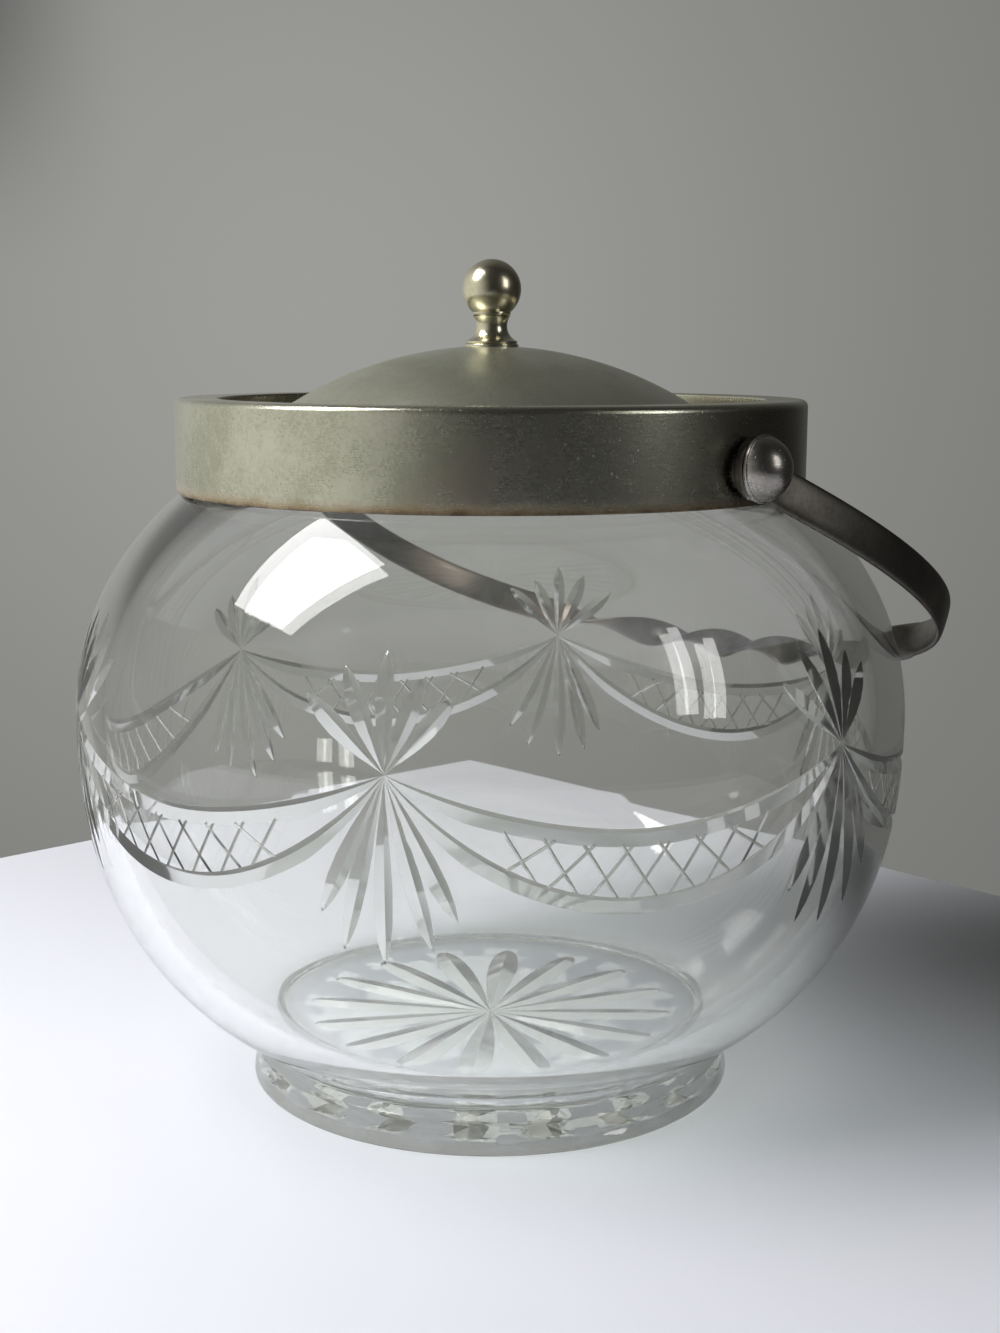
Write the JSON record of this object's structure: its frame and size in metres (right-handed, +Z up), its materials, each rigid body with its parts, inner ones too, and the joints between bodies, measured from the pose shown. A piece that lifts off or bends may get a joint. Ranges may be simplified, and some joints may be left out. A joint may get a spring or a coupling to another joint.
{
  "type": "biscuit jar",
  "caption": "Round cut-glass jar on a moulded foot, with a plated rim collar, a domed lift-off lid with a ball knob, and a hinged handle with a twisted grip.",
  "frame": {"origin": "centre of the flat underside of the foot", "axes": "+Z up along the jar's axis; X along the line of the handle's two pivots; the handle hangs towards +Y"},
  "size_m": [0.1604, 0.1687, 0.1601],
  "materials": {
    "cut_glass": "clear lead glass, polished, with wheel-cut swags, fans and a star",
    "plaster": "matte set plaster",
    "worn_silver_plate": "silver plate worn to nickel silver, satin, with grey-green tarnish",
    "dark_plate": "polished nickel silver darkened by tarnish",
    "warm_plate": "silver plate worn thin, with a warm brassy tint, polished"
  },
  "bodies": {
    "jar": {"glass_bowl": "cut_glass", "plaster_bed": "plaster", "rim_collar": "worn_silver_plate", "pivot_boss_left": "dark_plate", "pivot_boss_right": "dark_plate", "pivot_stud_left": "worn_silver_plate", "pivot_stud_right": "worn_silver_plate", "stud_burr_left": "dark_plate", "stud_burr_right": "dark_plate"},
    "handle": {"swing_handle": "dark_plate"},
    "lid": {"lid_dome": "worn_silver_plate", "lid_bezel": "worn_silver_plate", "knob_base_ring": "warm_plate", "knob": "warm_plate", "knob_washer": "worn_silver_plate", "knob_nut": "warm_plate"}
  },
  "joints": [
    {"name": "handle_swing", "type": "hinge", "parent": "jar", "child": "handle", "pos_m": [0, 0, 0.12308], "axis": [1, 0, 0], "range_deg": [0, 236]},
    {"name": "lid_lift", "type": "slide", "parent": "jar", "child": "lid", "axis": [0, 0, 1], "range_m": [0, 0.05]}
  ]
}
